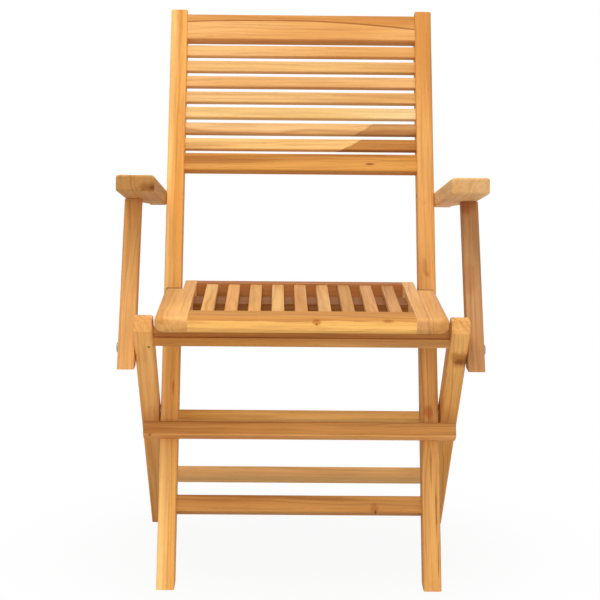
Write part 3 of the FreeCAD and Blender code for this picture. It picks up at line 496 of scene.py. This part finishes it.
# Seat. A frame of two notched side rails, a broad front rail and a narrow rear rail,
# with nine slats that run front to back and lie on a batten below.
FRONT_TO_BACK = 90
SEAT_HEARTWOOD = (0.66, 0.56, 0.47)
HONEY = (0.62, 0.44, 0.26)
finish_in_teak("seat_side_rail_left", lean=FRONT_TO_BACK, hue=(0.058, 0.008, -0.085), bands=0.4,
               streaks=0.3, ends=0.3)
finish_in_teak("seat_side_rail_right", lean=FRONT_TO_BACK, hue=(0.069, -0.034, -0.175), bands=0.5,
               streaks=0.3, ends=0.35)
finish_in_teak("seat_front_rail", hue=(0.071, 0.003, 0.009), bands=0.4, streaks=0.25, tilt=2.2, figures=(
    heart((0, 0, 0.4355), (0, 0, 1), SEAT_HEARTWOOD, share=0.9, soft=0.0008, wander=0.012, line=0.3),
    mark((0.0215, -0.2818, 0.4335), (0.009, 0.012, 0.0065), HONEY, share=0.85),
    mark((0.0215, -0.2818, 0.4305), (0.0025, 0.012, 0.0025), KNOT, share=0.8),
    mark((0.1275, -0.2818, 0.436), (0.011, 0.012, 0.004), HONEY, share=0.8)))
# Painted shade: the rear rail and, much more, the batten are darkened for the deep shadow under the seat
# slats
finish_in_teak("seat_rear_rail", hue=(-0.175, 0.155, -0.16))
finish_in_teak("seat_batten", hue=(-0.38, 0.25, 0.0))
# The hue of each seat slat, from the left, to which a little lightness of its own is added
SEAT_HUES = ((0.109, -0.098, -0.123), (-0.053, 0.065, -0.056), (-0.067, 0.047, -0.009),
             (0.036, -0.034, -0.075), (0.070, -0.032, -0.126), (0.086, -0.087, -0.178),
             (-0.048, -0.008, -0.087), (-0.072, 0.066, -0.111), (-0.105, 0.040, -0.130))
OWN_LIGHTNESS = (-0.03, 0.07)
SEAT_BANDS = (0.2, 0.6)
SEAT_STREAKS = (0.2, 0.5)
for number, (tone, warmth, gold) in enumerate(SEAT_HUES, 1):
    finish_in_teak("seat_slat_%d" % number, lean=FRONT_TO_BACK,
                   hue=(tone + boards.uniform(*OWN_LIGHTNESS), warmth, gold),
                   bands=boards.uniform(*SEAT_BANDS), streaks=boards.uniform(*SEAT_STREAKS))

# Armrests and struts. Each armrest is a wide board that tapers behind its strut to a
# round end bolted on the post; the strut leans back from the leg to the armrest.
ARM_LEAN = 99.3
STRUT_LEAN = 35.2
END_KNOT = (0.42, 0.26, 0.15)
finish_in_teak("arm_left", lean=ARM_LEAN, hue=(-0.095, 0.017, -0.036), streaks=0.35, figures=(
    mark((-0.2276, -0.24, 0.629), (0.024, 0.012, 0.010), BROWN, share=0.75),
    mark((-0.222, -0.24, 0.6285), (0.011, 0.01, 0.0045), END_KNOT, share=0.7)))
finish_in_teak("arm_right", lean=ARM_LEAN, hue=(0.142, -0.147, -0.260), streaks=0.35)
finish_in_teak("arm_strut_left", lean=STRUT_LEAN, hue=(-0.003, 0.008, -0.110), bands=0.45, streaks=0.35)
finish_in_teak("arm_strut_right", lean=STRUT_LEAN, hue=(-0.158, 0.030, -0.201), figures=(
    mark((0.2615, -0.1489, 0.4802), (0.012, 0.04, 0.04), REDDISH, share=0.35),
    mark((0.258, -0.0722, 0.589), (0.02, 0.03, 0.02), REDDISH, share=0.7)))


# Bolts, nuts and washers. Turned steel with a dull zinc coat, a little clouded and scratched.
# They pass through the posts, legs, armrests and struts at every pivot.
def metal(name, colour, dull, cloud):
    """A worn metal with clouded colour and a roughness a little below or above dull."""
    smoother = 0.08
    rougher = 0.12
    clouds_per_metre = 90.0
    scratches_per_metre = 900.0
    scratch_depth = 0.0002
    scratch_strength = 0.2
    material, tree, shader = new_material(name)
    coordinates = new_node(tree, "ShaderNodeTexCoord")
    clouds = new_node(tree, "ShaderNodeTexNoise", inputs={"Scale": clouds_per_metre, "Detail": 4.0})
    scratch = new_node(tree, "ShaderNodeTexNoise",
                       inputs={"Scale": scratches_per_metre, "Detail": 2.0})
    link = tree.links.new
    for texture in (clouds, scratch):
        link(coordinates.outputs["Object"], texture.inputs["Vector"])
    clouded = paint(*[value * (1 - cloud) for value in colour])
    shade = blended(tree, clouds.outputs["Fac"], clouded, paint(*colour))
    link(shade, shader.inputs["Base Color"])
    rough = ranged(tree, scratch.outputs["Fac"], low=0.3, high=0.7, to_low=dull - smoother,
                   to_high=dull + rougher, smooth=False)
    link(rough, shader.inputs["Roughness"])
    bump = new_node(tree, "ShaderNodeBump",
                    inputs={"Strength": scratch_strength, "Distance": scratch_depth})
    link(scratch.outputs["Fac"], bump.inputs["Height"])
    link(bump.outputs["Normal"], shader.inputs["Normal"])
    shader.inputs["Metallic"].default_value = 1.0
    return material


zinc = metal("zinc_steel", (176, 168, 156), dull=0.42, cloud=0.25)
for name in part:
    if "bolt" in name or "nut" in name or "washer" in name:
        dress(name, zinc)

# Hinges. Small butt hinges of aged brass, each of two leaves that turn on a pin.
# They join the seat to the posts and the struts to the armrests.
brass = metal("aged_brass", (186, 136, 80), dull=0.55, cloud=0.25)
for name in part:
    if "hinge" in name:
        dress(name, brass)
